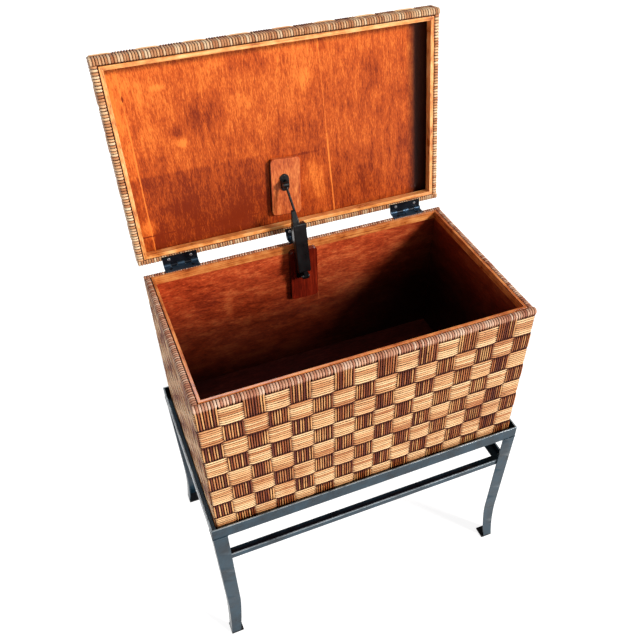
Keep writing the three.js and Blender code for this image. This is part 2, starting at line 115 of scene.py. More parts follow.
# ---- meshes ----
def mesh_object(name, vertices, polygons, attributes=None):
    """A smooth object from vertices (n, 3) and a list of index arrays, each (m, corners)."""
    mesh = bpy.data.meshes.new(name)
    mesh.vertices.add(len(vertices))
    mesh.vertices.foreach_set("co", np.asarray(vertices, np.float32).ravel())
    totals = np.concatenate([np.full(len(p), p.shape[1]) for p in polygons])
    mesh.loops.add(int(totals.sum()))
    mesh.loops.foreach_set("vertex_index", np.concatenate([p.ravel() for p in polygons]))
    mesh.polygons.add(len(totals))
    mesh.polygons.foreach_set("loop_start", np.concatenate([[0], np.cumsum(totals)[:-1]]))
    mesh.polygons.foreach_set("loop_total", totals)
    mesh.polygons.foreach_set("use_smooth", np.ones(len(totals), bool))
    for key, values in (attributes or {}).items():
        kind = "FLOAT_VECTOR" if values.ndim == 2 else "FLOAT"
        layer = mesh.attributes.new(key, kind, "POINT")
        field = "vector" if values.ndim == 2 else "value"
        layer.data.foreach_set(field, values.astype(np.float32).ravel())
    mesh.update(calc_edges=True)
    mesh.validate()
    made = bpy.data.objects.new(name, mesh)
    SCENE.collection.objects.link(made)
    return made


def place_piece(piece, body, material):
    piece.data.materials.append(material)
    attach(piece, body)


class Strands:
    """Gathers tubes with the same number of rings, and turns them into one mesh."""

    def __init__(self, closed=False):
        self.closed = closed
        self.vertices, self.quads, self.caps = [], [], []
        self.marks = {"tone": [], "sunk": [], "bound": [], "grain": []}
        self.count = 0

    def add(self, centre, side, out, along, size, depth, taper=1.0, bound=0.0):
        """Adds strands.

        centre, side and out are (strands, rings, 3); along, depth, taper and bound are (strands, rings) or a
        number; size is a strand's half width and half thickness.
        """
        number, rings, _ = centre.shape
        taper = taper * np.ones((number, rings))
        bound = bound * np.ones((number, rings))
        spread = RANDOM.uniform(0.93, 1.07, (number, 1)) * taper * (1 + (BOUND - 1) * bound)
        across = np.cos(SECTION) * size[0]
        up = np.sin(SECTION) * size[1]
        points = (centre[:, :, None]
                  + side[:, :, None] * (across * spread[..., None])[..., None]
                  + out[:, :, None] * (up * taper[..., None])[..., None])
        around = len(SECTION)
        first = self.count + np.arange(number)[:, None, None] * rings * around
        ring = np.arange(rings if self.closed else rings - 1)[None, :, None] * around
        step = np.arange(around)[None, None, :]
        nxt = (step + 1) % around
        up_ring = (ring + around) % (rings * around)
        corners = [first + ring + step, first + ring + nxt, first + up_ring + nxt, first + up_ring + step]
        turning = np.einsum("sni,sni->", np.cross(side, out)[:, :-1], np.diff(centre, axis=1))
        if turning < 0:
            corners.reverse()
        self.quads.append(np.stack(corners, -1).reshape(-1, 4))
        if not self.closed:
            low = first[:, 0] + step[0, 0][None, ::-1]
            high = first[:, 0] + (rings - 1) * around + step[0, 0][None, :]
            if turning < 0:
                low, high = low[:, ::-1], high[:, ::-1]
            self.caps.append(np.concatenate([low, high]))
        self.vertices.append(points.reshape(-1, 3))
        tone = RANDOM.uniform(0, 1, (number, 1, 1)) * np.ones((1, rings, around))
        sunk = depth[..., None] - up * taper[..., None]
        seed = RANDOM.uniform(0, 50, (number, 1, 1))
        grain = np.stack([along[..., None] + 0 * sunk, step / around + 0 * sunk, seed + 0 * sunk], -1)
        marks = (tone.ravel(), sunk.ravel() / MM, (bound[..., None] + 0 * sunk).ravel(), grain.reshape(-1, 3))
        for values, gathered in zip(marks, self.marks.values()):
            gathered.append(values)
        self.count += number * rings * around

    def build(self, name, matrix=None):
        vertices = np.concatenate(self.vertices)
        polygons = [np.concatenate(self.quads)] + ([np.concatenate(self.caps)] if self.caps else [])
        marks = {key: np.concatenate(parts) for key, parts in self.marks.items()}
        made = mesh_object(name, vertices, polygons, marks)
        if matrix is not None:
            made.data.transform(matrix)
        return made


class Outline:
    """A path of straight runs with rounded corners, in two dimensions, read at any distance."""

    def __init__(self, corners, radii):
        points = [np.array(corners[0], float)]
        for i in range(1, len(corners) - 1):
            here, before, after = (np.array(corners[k], float) for k in (i, i - 1, i + 1))
            back = (before - here) / np.linalg.norm(before - here)
            ahead = (after - here) / np.linalg.norm(after - here)
            centre = here + (back + ahead) * radii[i - 1]
            for t in np.linspace(0, math.pi / 2, 13):
                points.append(centre - ahead * radii[i - 1] * math.cos(t) - back * radii[i - 1] * math.sin(t))
        points.append(np.array(corners[-1], float))
        self.points = np.array(points)
        steps = np.linalg.norm(np.diff(self.points, axis=0), axis=1)
        self.distance = np.concatenate([[0], np.cumsum(steps)])
        self.length = self.distance[-1]
        tangents = np.gradient(self.points, self.distance, axis=0)
        self.tangents = tangents / np.linalg.norm(tangents, axis=1)[:, None]

    def at(self, s):
        """Points and tangents at distances s."""
        point = np.stack([np.interp(s, self.distance, self.points[:, k]) for k in (0, 1)], -1)
        tangent = np.stack([np.interp(s, self.distance, self.tangents[:, k]) for k in (0, 1)], -1)
        return point, tangent / np.linalg.norm(tangent, axis=-1)[..., None]


def level(s, crossings, start):
    """1 where a strand lies over, -1 where under, changing sign at each crossing (place, softness)."""
    value = np.full_like(s, float(start))
    for place, softness in crossings:
        value = value * np.tanh((s - place) / softness) * -1
    return value


def wobble(s, number, size):
    """A slow sideways wander of each of a number of strands at distances s."""
    phase = RANDOM.uniform(0, 2 * math.pi, (number, 3, 1))
    waves = np.array([0.061, 0.107, 0.23])[None, :, None]
    swings = np.array([0.3, 0.35, 0.35])[None, :, None] * size
    return (swings * np.sin(2 * math.pi * s[None, None, :] / waves + phase)).sum(1)


def lay(s, offset, pitch, over, on_rim):
    """How far one of a bundle's strands lies to the side, and how deep, at distances s."""
    spread = 0.92 + 0.03 * np.clip(over, 0, 1) + 0.05 * on_rim
    shift = offset * pitch / STRANDS * spread + wobble(s, 1, 0.3 * MM)[0] * (1 - 0.6 * on_rim)
    return shift, MID_DEPTH - SWING * over + RANDOM.uniform(-JITTER, JITTER)


def packed(number, pitch):
    """Sideways places of a bundle's strands about its middle."""
    return (np.arange(number) - (number - 1) / 2) * pitch


# ---- the trunk's four woven faces ----
def four_faces(left, right, front, back, side_columns):
    """Each face's first corner, direction, outward direction, length and number of columns."""
    width, depth = right - left, back - front
    return [((left, front), (1, 0), (0, -1), width, COLUMNS),
            ((right, front), (0, 1), (1, 0), depth, side_columns),
            ((right, back), (-1, 0), (0, 1), width, COLUMNS),
            ((left, back), (0, -1), (-1, 0), depth, side_columns)]


FACES = four_faces(LEFT, RIGHT, FRONT, BACK, SIDE_COLUMNS)


def round_face(face, u, radius=CORNER_ROUND):
    """Point, outward and along directions on a face at distance u, with the corners rounded."""
    corner, along, outward, length, _ = face
    corner, along, outward = (np.array(v, float) for v in (corner, along, outward))
    u = np.asarray(u, float)[..., None]
    angle = np.zeros_like(u)
    angle = np.where(u < radius, -(1 - u / radius), angle)
    angle = np.where(u > length - radius, (u - length + radius) / radius, angle) * math.pi / 4
    out = outward * np.cos(angle) + along * np.sin(angle)
    way = along * np.cos(angle) - outward * np.sin(angle)
    centre = corner + along * np.clip(u, radius, length - radius) - outward * radius
    point = np.where(angle == 0, corner + along * u, centre + out * radius)
    return point, out, way


def flat3(v, z=0.0):
    return np.concatenate([v, np.broadcast_to(z, v.shape[:-1])[..., None]], -1)


def face_samples(length, columns, per_cell=6):
    """Distances along a face: a few in each cell, and the rounded ends followed closely."""
    inner = np.linspace(0, length, columns * per_cell + 1)
    inner = inner[(inner > CORNER_ROUND * 1.2) & (inner < length - CORNER_ROUND * 1.2)]
    end = np.array([0, 0.35, 0.7, 1.0]) * CORNER_ROUND
    return np.concatenate([end, inner, length - end[:0:-1]])


def ring_run(faces, row):
    """One row's path round the four faces: points, outward, distance and level."""
    points, outs, distances, levels = [], [], [], []
    start = 0.0
    cell = 0
    for face in faces:
        length, columns = face[3:]
        u = face_samples(length, columns)
        point, out, _ = round_face(face, u)
        pitch = length / columns
        index = np.clip((u / pitch).astype(int), 0, columns - 1)
        inside = u - index * pitch
        over = np.where((cell + index + row) % 2 == 1, 1.0, -1.0)
        points.append(point)
        outs.append(out)
        distances.append(start + u)
        levels.append(over * np.tanh(inside / DIVE) * np.tanh((pitch - inside) / DIVE))
        start += length
        cell += columns
    return [np.concatenate(v) for v in (points, outs, distances, levels)]


def rows_piece(name, faces, row, middle_z, number, pitch, lean=0.0):
    """A bundle of strands that runs round all four faces."""
    strands = Strands(closed=True)
    point, out, distance, over = ring_run(faces, row)
    squeeze = 0.972 + 0.028 * np.clip(over, 0, 1)
    offset = packed(number, pitch)[:, None] * squeeze[None] + wobble(distance, number, 0.4 * MM)
    depth = MID_DEPTH - SWING * over[None] + RANDOM.uniform(-JITTER, JITTER, (number, 1))
    bulge = 0.25 * MM * np.clip(over, 0, 1) * (1 - packed(number, 2 / number)[:, None] ** 2)
    depth = depth + np.reshape(lean, (-1, 1)) - bulge
    flat = point[None] - out[None] * depth[..., None]
    centre = np.concatenate([flat, (middle_z + offset)[..., None]], -1)
    outward = np.broadcast_to(flat3(out)[None], centre.shape)
    side = np.zeros_like(centre) + np.array([0, 0, 1.0])
    strands.add(centre, side, outward, np.broadcast_to(distance, depth.shape), ROW_STRAND, depth)
    return strands.build(name)


def trunk_columns(name, chosen, parity):
    """Column strands of some faces, with the given parity, from the tray up and over the rim."""
    strands = Strands()
    corners = [(0, BOTTOM + FOOT), (0, RIM), (-BINDING_IN, RIM), (-BINDING_IN, RIM - BINDING_DOWN)]
    outline = Outline(corners, [RIM_ROUND, GROOVE_ROUND])
    to_height = RIM - BOTTOM - FOOT  # distance at which the sharp rim would be
    rows = [to_height - FIRST_ROW_END - ROW_PITCH * k for k in range(ROWS - 1)][::-1]
    over_top = to_height - BAND
    woven = np.concatenate([
        np.linspace(0, rows[0], 5, endpoint=False),
        np.linspace(rows[0], rows[-1], 6 * (len(rows) - 1), endpoint=False),
        np.linspace(rows[-1], over_top, 7, endpoint=False),
        np.linspace(over_top, to_height - RIM_ROUND, 4, endpoint=False),
    ])
    turn = to_height - RIM_ROUND
    turned = turn + RIM_ROUND * math.pi / 2
    first_cell = 0
    for k, face in enumerate(FACES):
        length, columns = face[3:]
        pitch = length / columns
        for column in range(columns):
            cell = first_cell + column
            if k not in chosen or cell % 2 != parity:
                continue
            mid_u = (column + 0.5) * pitch
            crossings = [(r, DIVE) for r in rows]
            if cell % 2 == 1:  # passes under the first row, then comes up to bind the rim
                crossings.append((over_top, RIM_DIVE))
            sign = 1 if (cell + ROWS - 1) % 2 == 0 else -1
            for offset in packed(STRANDS, 1.0):
                u = mid_u + offset * pitch / STRANDS
                cut = k % 2 == 1 and min(u, length - u) < MITRE
                end = turned - 4 * MM if cut else outline.length
                s = np.concatenate([woven, np.linspace(turn, min(turned, end), 8, endpoint=False),
                                    np.linspace(min(turned, end - 1 * MM), end, 9)])
                over = level(s, crossings, sign)
                on_rim = np.clip((s - over_top) / (BAND - RIM_ROUND), 0, 1)
                over = over + (BAND_LIFT - over) * on_rim * (over > -0.2)
                shift, depth = lay(s, offset, pitch, over, on_rim)
                point, out, way = round_face(face, mid_u + shift, CORNER_ROUND if k % 2 == 1 else 1 * MM)
                flat, tangent = outline.at(s)
                normal = np.stack([tangent[:, 1], -tangent[:, 0]], -1)
                inward = flat[:, 0] - normal[:, 0] * depth
                height = flat[:, 1] - normal[:, 1] * depth
                centre = np.concatenate([point + out * inward[:, None], height[:, None]], -1)
                outward = flat3(out * normal[:, :1], normal[:, 1])
                taper = np.ones(len(s))
                taper[-1] = TIP
                strands.add(centre[None], flat3(way)[None], outward[None], s[None], COLUMN_STRAND,
                            depth[None], taper[None], on_rim[None])
        first_cell += columns
    return strands.build(name)


def core_rings(name, faces, z, toward):
    """Flat strands that lie along the rim, under its binding."""
    strands = Strands(closed=True)
    point, out, distance, _ = ring_run(faces, 0)
    flat = point[None] - out[None] * CORE_INSET[:, None, None]
    centre = flat3(flat, z)
    outward = np.zeros_like(centre) + np.array([0, 0, toward])
    side = np.broadcast_to(flat3(out)[None], centre.shape)
    depth = np.full(centre.shape[:2], CORE_DOWN)
    strands.add(centre, side, outward, np.broadcast_to(distance, depth.shape), CORE_STRAND, depth)
    return strands.build(name)


def weave_trunk(rattan):
    for row in range(ROWS):
        middle = RIM - BAND - ROW_PITCH * (row + 0.5)
        piece = rows_piece(f"woven_row_{row + 1}", FACES, row, middle, STRANDS, ROW_PITCH / STRANDS)
        place_piece(piece, "trunk", rattan["row"])
    groups = [("front", (0,)), ("back", (2,)), ("sides", (1, 3))]
    for word, chosen in groups:
        for parity in (0, 1):
            piece = trunk_columns(f"woven_columns_{word}_{'ab'[parity]}", chosen, parity)
            place_piece(piece, "trunk", rattan["column"])
    core = core_rings("rim_core", FACES, RIM - CORE_DOWN, 1)
    place_piece(core, "trunk", rattan["row"])
    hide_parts("weave_front", "weave_back", "weave_left", "weave_right")
    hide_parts("rim_binding")


# ---- the lid's weave, drawn shut about the hinge pin ----
LID_FACES = four_faces(-LID_HALF, LID_HALF, LID_FRONT, LID_BACK, LID_ROWS)


def lid_profile(low, high):
    """The lid's woven section between two edges: rim, side, top, side and rim."""
    corners = [(low + BINDING_IN, LID_LOW + BINDING_DOWN), (low + BINDING_IN, LID_LOW), (low, LID_LOW),
               (low, LID_TOP), (high, LID_TOP), (high, LID_LOW), (high - BINDING_IN, LID_LOW),
               (high - BINDING_IN, LID_LOW + BINDING_DOWN)]
    return Outline(corners, [GROOVE_ROUND, RIM_ROUND, LID_ROUND, LID_ROUND, RIM_ROUND, GROOVE_ROUND])


def lid_strands(name, low, high, across_low, across_high, bundles, cells, parity, make_point):
    """Strands that cross the lid's top and bind both of its rims.

    make_point is lid_column or lid_row, and sets which way they cross.
    """
    strands = Strands()
    outline = lid_profile(low, high)
    total = outline.length
    side = LID_TOP - LID_LOW
    bend = RIM_ROUND * (1 - math.pi / 4)
    rim_at = BINDING_DOWN + BINDING_IN - GROOVE_ROUND * (2 - math.pi / 2) - bend
    top_at = rim_at + side - bend - LID_ROUND * (1 - math.pi / 4)
    pitch = (total - 2 * top_at) / cells
    pitch_across = (across_high - across_low) / bundles
    marks = [top_at + pitch * k for k in range(cells + 1)]
    band = rim_at + LID_BAND - bend
    woven = np.concatenate([np.linspace(a, b, 6, endpoint=False) for a, b in zip(marks, marks[1:])])
    edge = np.linspace(rim_at + 7 * MM, top_at, 11, endpoint=False)
    crossings = [(m, DIVE) for m in marks]
    if parity == (1 if make_point is lid_row else 0):  # these come up to bind both rims
        crossings = [(band, RIM_DIVE)] + crossings + [(total - band, RIM_DIVE)]
    for bundle in range(parity, bundles, 2):
        mid = across_low + (bundle + 0.5) * pitch_across
        for offset in packed(STRANDS, 1.0):
            u = mid + offset * pitch_across / STRANDS
            cut = make_point is lid_row and min(u - across_low, across_high - u) < MITRE
            begin = rim_at - 1 * MM if cut else 0.0
            s_rim = np.linspace(begin, rim_at + 7 * MM, 19, endpoint=False)
            head = np.concatenate([s_rim, edge])
            s = np.concatenate([head, woven, (total - head)[::-1]])
            over = level(s, crossings, 1)
            on_rim = np.clip((band - np.minimum(s, total - s)) / (8 * MM), 0, 1)
            over = over + (BAND_LIFT - over) * on_rim
            shift, depth = lay(s, offset, pitch_across, over, on_rim)
            flat, tangent = outline.at(s)
            normal = np.stack([-tangent[:, 1], tangent[:, 0]], -1)
            spot = flat - normal * depth[:, None]
            taper = np.ones(len(s))
            taper[[0, -1]] = TIP
            centre, sideways, outward = make_point(mid + shift, spot, normal)
            strands.add(centre[None], sideways[None], outward[None], s[None], COLUMN_STRAND,
                        depth[None], taper[None], on_rim[None])
    return strands.build(name, LID_TO_ROW)


def lid_column(u, spot, normal):
    """A strand that runs from the lid's front to its back at x = u."""
    zero = np.zeros_like(u)
    return (np.stack([u, spot[:, 0], spot[:, 1]], -1), np.stack([zero + 1, zero, zero], -1),
            np.stack([zero, normal[:, 0], normal[:, 1]], -1))


def lid_row(u, spot, normal):
    """A strand that runs across the lid at y = u."""
    zero = np.zeros_like(u)
    return (np.stack([spot[:, 0], u, spot[:, 1]], -1), np.stack([zero, zero + 1, zero], -1),
            np.stack([normal[:, 0], zero, normal[:, 1]], -1))


def weave_lid(rattan):
    for parity in (0, 1):
        columns = lid_strands(f"lid_columns_{'ab'[parity]}", LID_FRONT, LID_BACK, -LID_HALF, LID_HALF,
                              COLUMNS, LID_ROWS, parity, lid_column)
        place_piece(columns, "lid", rattan["column"])
        rows = lid_strands(f"lid_rows_{'ab'[parity]}", -LID_HALF, LID_HALF, LID_FRONT, LID_BACK,
                           LID_ROWS, COLUMNS, parity, lid_row)
        place_piece(rows, "lid", rattan["row"])
    middle = LID_LOW + LID_BAND + LID_RING_PITCH * LID_RING / 2
    ring = rows_piece("lid_edge_ring", LID_FACES, 1, middle, LID_RING, LID_RING_PITCH, LID_RING_LEAN)
    ring.data.transform(LID_TO_ROW)
    place_piece(ring, "lid", rattan["row"])
    core = core_rings("lid_core", LID_FACES, LID_LOW + CORE_DOWN, -1)
    core.data.transform(LID_TO_ROW)
    place_piece(core, "lid", rattan["row"])
    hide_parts("lid_weave")
    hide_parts("lid_binding")


# ---- materials ----
class Look:
    """A material's node tree, with short calls to add nodes and join them."""

    def __init__(self, name, **values):
        self.material = bpy.data.materials.new(name)
        self.material.use_nodes = True
        self.tree = self.material.node_tree
        self.shader = self.tree.nodes["Principled BSDF"]
        self.put(self.shader, values)

    def put(self, node, values):
        for key, value in values.items():
            socket = node.inputs[key if isinstance(key, int) else key.replace("_", " ")]
            if isinstance(value, bpy.types.NodeSocket):
                self.tree.links.new(value, socket)
            else:
                socket.default_value = value

    def add(self, kind, inputs=None, **settings):
        node = self.tree.nodes.new("ShaderNode" + kind)
        for key, value in settings.items():
            setattr(node, key, value)
        self.put(node, inputs or {})
        return node

    def attribute(self, name, output="Fac"):
        return self.add("Attribute", attribute_name=name).outputs[output]

    def place(self):
        return self.add("TexCoord").outputs["Object"]

    def axes(self, vector):
        return self.add("SeparateXYZ", {0: vector}).outputs

    def scaled(self, vector, scale, shift=(0, 0, 0)):
        mapping = self.add("Mapping", {"Vector": vector, "Scale": scale, "Location": shift})
        return mapping.outputs["Vector"]

    def noise(self, vector, scale=1.0, detail=2.0, rough=0.5, distortion=0.0):
        made = self.add("TexNoise", {"Vector": vector, "Scale": scale, "Detail": detail,
                                     "Roughness": rough, "Distortion": distortion})
        return made.outputs["Fac"]

    def ramp(self, factor, *stops):
        """A smooth ramp from (place, value) stops, where a value is a number or a colour."""
        made = self.add("ValToRGB", {"Fac": factor})
        colours = made.color_ramp
        while len(colours.elements) < len(stops):
            colours.elements.new(0.5)
        for element, (place, value) in zip(colours.elements, stops):
            element.position = place
            element.color = value if isinstance(value, tuple) else (value, value, value, 1)
        return made.outputs["Color"]

    def span(self, value, low, high, to_low=0.0, to_high=1.0):
        made = self.add("MapRange", {0: value, 1: low, 2: high, 3: to_low, 4: to_high})
        return made.outputs[0]

    def math(self, operation, a, b=0.0):
        return self.add("Math", {0: a, 1: b}, operation=operation).outputs[0]

    def plus(self, a, b):
        return self.math("ADD", a, b)

    def minus(self, a, b):
        return self.math("SUBTRACT", a, b)

    def times(self, a, b):
        return self.math("MULTIPLY", a, b)

    def absolute(self, value):
        return self.math("ABSOLUTE", value)

    def weigh(self, *parts):
        """The sum of (value, share) parts."""
        products = [self.times(value, share) for value, share in parts]
        total = products[0]
        for product in products[1:]:
            total = self.plus(total, product)
        return total

    def mix(self, factor, a, b, blend="MIX"):
        made = self.add("Mix", {0: factor, 6: a, 7: b}, data_type="RGBA", blend_type=blend)
        return made.outputs[2]

    def bump(self, height, strength, distance):
        made = self.add("Bump", {"Height": height, "Strength": strength, "Distance": distance})
        self.put(self.shader, {"Normal": made.outputs["Normal"]})

    def stain(self, factor, colour, blend="MIX"):
        """Lays one more stain over the colour so far."""
        under = self.shader.inputs["Base Color"].links[0].from_socket
        self.put(self.shader, {"Base Color": self.mix(factor, under, colour, blend)})

    def finish(self, colour, roughness):
        self.put(self.shader, {"Base Color": colour, "Roughness": roughness})
        return self.material


def rattan_look(name, pale, tan, brown, wraps, contrast, stain_shade_from, stain_shade_to, side_shade):
    """Peeled rattan: pale crowns, fine fibres along the strand, and dark stain left in the weave, deepened as
    painted shade where strands sink under others, with painted shade along each strand's sides.
    """
    look = Look(name, Coat_Weight=0.04, Coat_Roughness=0.3, Specular_IOR_Level=0.2)
    grain = look.attribute("grain", "Vector")
    bound = look.attribute("bound")
    fibre = look.noise(look.scaled(grain, (26, 16, 3)), detail=3, rough=0.65)
    streak = look.noise(look.scaled(grain, (9, 3, 7)), detail=2)
    patch = look.noise(look.place(), scale=17, detail=3)
    tone = look.plus(look.attribute("tone"), look.span(streak, 0.35, 0.65, -0.3, 0.3))
    colour = look.ramp(tone, (0.1, pale), (0.55, tan), (1.0, brown))
    wrap = look.ramp(tone, (0.0, wraps[0]), (0.5, wraps[1]), (1.0, wraps[2]))
    colour = look.mix(look.span(bound, 0.25, 1.0), colour, wrap)
    colour = look.mix(look.span(patch, 0.45, 0.75, 0, 0.6), colour, rgb(214, 164, 128), "MULTIPLY")
    shade = look.ramp(fibre, (0.3, 0.72), (0.62, 1.0))
    colour = look.mix(contrast, colour, shade, "MULTIPLY")
    thread = look.noise(look.scaled(grain, (60, 44, 5)), detail=3, rough=0.7)
    colour = look.mix(0.6, colour, look.ramp(thread, (0.36, 0.5), (0.56, 1.0)), "MULTIPLY")
    nodes = look.span(look.noise(look.scaled(grain, (75, 0.4, 9)), detail=1), 0.7, 0.75, 0.0, 0.5)
    colour = look.mix(nodes, colour, rgb(92, 44, 20))
    # Darker the deeper a strand sinks: partly the weave's real stain, partly painted shade in the gaps and
    # under crossings.
    depth = look.plus(look.attribute("sunk"), look.span(fibre, 0.3, 0.7, -0.3, 0.3))
    depth = look.plus(depth, look.span(patch, 0.4, 0.7, 0, 0.22))
    stain_and_shade = look.span(depth, stain_shade_from, stain_shade_to)
    stain_and_shade = look.times(stain_and_shade, look.span(bound, 0.2, 1.0, 1.0, 0.3))
    colour = look.mix(stain_and_shade, colour, rgb(64, 18, 6))
    # Painted shade: a strand's sides, away from its crown, are darkened, most on the binding's wraps.
    around = look.axes(grain)[1]
    edge = look.span(look.absolute(look.minus(around, CROWN)), 0.14, 0.27)
    outline = look.times(edge, look.span(bound, 0.2, 1.0, side_shade, 0.95))
    colour = look.mix(outline, colour, rgb(76, 28, 11))
    look.bump(look.plus(fibre, thread), 0.4, 0.0004)
    rough = look.plus(look.span(fibre, 0.3, 0.7, 0.36, 0.54), look.times(stain_and_shade, 0.35))
    return look.finish(colour, rough)


def rattan_looks(part, *wraps):
    row = rattan_look(f"rattan_row_{part}", rgb(255, 212, 158), rgb(238, 180, 122), rgb(200, 130, 78),
                      wraps, 0.95, 0.4, 1.4, 0.9)
    column = rattan_look(f"rattan_column_{part}", rgb(242, 180, 114), rgb(194, 108, 54), rgb(104, 38, 14),
                         wraps, 0.9, -0.6, 0.25, 0.4)
    return {"row": row, "column": column}


def stained_wood(name, tones, along, fine, roughness=(0.26, 0.42), coat=0.2, marks=None, gloss=0.3):
    """Stained ply, as a look that more stains can go over.

    tones are dark, middle and light; along scales the broad figure and fine the pores; marks adds to the
    tone before it is coloured.
    """
    dark, middle, light = (rgb(*tone) for tone in tones)
    look = Look(name, Coat_Weight=coat, Coat_Roughness=0.24, Specular_IOR_Level=gloss)
    place = look.place()
    bands = look.noise(look.scaled(place, along), detail=4, rough=0.65, distortion=0.5)
    streaks = look.noise(look.scaled(place, fine), detail=3, rough=0.7)
    hair = look.noise(look.scaled(place, tuple(2.6 * f for f in fine), (3, 1, 2)), detail=2, rough=0.6)
    cloud = look.noise(place, scale=11, detail=5, rough=0.62)
    value = look.weigh((bands, 0.24), (cloud, 0.22), (streaks, 0.3), (hair, 0.24))
    if marks:
        value = look.plus(value, marks(look, place, bands))
    colour = look.ramp(value, (0.39, dark), (0.5, middle), (0.61, light))
    pores = look.noise(look.scaled(place, tuple(1.7 * f for f in fine), (9, 4, 5)), detail=1)
    pores = look.span(pores, 0.64, 0.72)
    colour = look.mix(look.times(pores, 0.55), colour, dark)
    look.bump(look.plus(streaks, look.times(pores, -0.6)), 0.16, 0.0005)
    look.finish(colour, look.span(cloud, 0.3, 0.7, *roughness))
    return look


def wall_marks(look, place, bands):
    """Varnish smears high on the back wall, lighter in tone as a painted reflection of their sheen, and a
    drip under the stay's block.
    """
    tone = look.span(bands, 0.45, 0.6, -0.02, 0.02)
    for x, z, wide, high, value in SMEARS:
        tone = look.plus(tone, spot(look, place, (x, BACK - WALL, z), (wide, 0.02, high), value))
    return tone


def wall_look():
    """The trunk's inside: curly figure, with painted shade that darkens it towards the floor and the right,
    slanting like the key light's cast shadow.

    Outer faces are painted nearly black behind the weave, as painted shade seen through its gaps.
    """
    look = stained_wood("ply_trunk", ((136, 40, 16), (190, 72, 34), (228, 112, 60)),
                        (14, 14, 46), (60, 60, 210), (0.3, 0.5), marks=wall_marks)
    place = look.place()
    turned = look.add("Mapping", {"Vector": place, "Rotation": (0.6, 0.6, 0), "Scale": (70, 70, 300)})
    curl = look.noise(turned.outputs[0], detail=3, rough=0.6, distortion=1.2)
    axes = look.axes(place)
    near = WALL - 0.1 * MM
    from_x = look.minus(look.absolute(axes[0]), RIGHT - near)
    from_y = look.absolute(look.minus(axes[1], MIDDLE_Y))
    from_y = look.minus(from_y, (BACK - FRONT) / 2 - near)
    outside = look.math("GREATER_THAN", look.math("MAXIMUM", from_x, from_y), 0.0)
    look.stain(0.75, look.ramp(curl, (0.36, 0.62), (0.66, 1.0)), "MULTIPLY")
    height = look.plus(axes[2], look.times(curl, 0.03))
    # Painted shade: darker low down and towards the right, along the slant of the shadow that the right wall
    # casts.
    low = look.span(height, 0.625, 0.785, 0.2, 1.0)
    below_rim = look.minus(RIM, height)
    shadow_slant = look.plus(axes[0], look.times(below_rim, 0.6))
    low = look.times(low, look.span(shadow_slant, 0.2, 0.4, 1.0, 0.16))
    look.stain(1.0, look.mix(low, rgb(0, 0, 0), rgb(255, 255, 255)), "MULTIPLY")
    # Painted shade: the walls' outer faces, seen through the weave's gaps, are painted nearly black.
    look.stain(outside, rgb(40, 16, 9))
    return look.material


def panel_look():
    """The lid's panel, with a painted shadow along its right edge, where the frame's right wall casts its
    shade.
    """
    look = stained_wood("ply_lid", ((116, 36, 8), (182, 76, 22), (232, 124, 48)),
                        (85, 85, 5), (420, 420, 14), (0.34, 0.5), 0.03, panel_marks, 0.14)
    across = look.axes(look.place())[0]
    # Painted shadow of the recess's right wall, darkening the panel's right edge.
    look.stain(look.span(across, 0.292, 0.314, 0.0, 0.95), rgb(30, 8, 3))
    return look.material


def block_look(name, tones, along, fine, roughness, coat):
    """A stay block, with painted shade that makes its side facing left black."""
    look = stained_wood(name, tones, along, fine, roughness, coat)
    shaded_side = look.axes(look.add("NewGeometry").outputs["Normal"])[0]
    # Painted shade on the block's left-facing side.
    look.stain(look.span(shaded_side, -0.75, -0.4, 0.92, 0.0), rgb(10, 4, 3))
    return look.material


def spot(look, place, centre, size, height):
    """A soft oval patch of extra tone."""
    shift = look.add("VectorMath", {0: place, 1: centre}, operation="SUBTRACT").outputs[0]
    inverse = tuple(1 / v for v in size)
    shift = look.add("VectorMath", {0: shift, 1: inverse}, operation="MULTIPLY").outputs[0]
    distance = look.add("VectorMath", {0: shift}, operation="LENGTH").outputs["Value"]
    return look.span(distance, 0.35, 1.0, height, 0.0)


# The lighter smears are painted reflection of the varnish's sheen.
SMEARS = [  # on the trunk's back wall: across, height, half width, half height, tone
    (-0.185, 0.668, 0.014, 0.060, 0.07), (-0.275, 0.688, 0.026, 0.046, 0.04),
    (-0.120, 0.700, 0.034, 0.034, 0.03), (-0.235, 0.700, 0.050, 0.060, -0.05),
    (0.036, 0.640, 0.0014, 0.018, 0.25), (0.110, 0.735, 0.060, 0.030, 0.03),
]
PANEL_FOOT, PANEL_LEAN = 0.84, 0.16  # the open lid's panel: its lower edge, and its lean per metre up
PATCHES = [  # on the lid's panel: across, height, half width, half height, tone
    (-0.213, 1.038, 0.016, 0.012, 0.10), (-0.222, 1.060, 0.020, 0.016, -0.09),
    (-0.316, 0.872, 0.020, 0.030, 0.12), (0.066, 0.905, 0.030, 0.060, 0.08),
    (-0.312, 1.139, 0.0022, 0.007, -0.40), (0.204, 0.908, 0.0016, 0.009, -0.35),
    (0.250, 0.936, 0.0016, 0.007, -0.30), (0.215, 1.060, 0.012, 0.030, 0.06),
    (0.060, 1.120, 0.030, 0.030, 0.05), (-0.160, 1.090, 0.060, 0.050, -0.04),
    (0.285, 0.960, 0.020, 0.060, -0.04), (-0.060, 1.165, 0.080, 0.025, -0.04),
    (0.040, 0.968, 0.045, 0.004, -0.07), (-0.250, 0.905, 0.050, 0.020, -0.03),
    (-0.245, 1.150, 0.020, 0.008, 0.10),
]


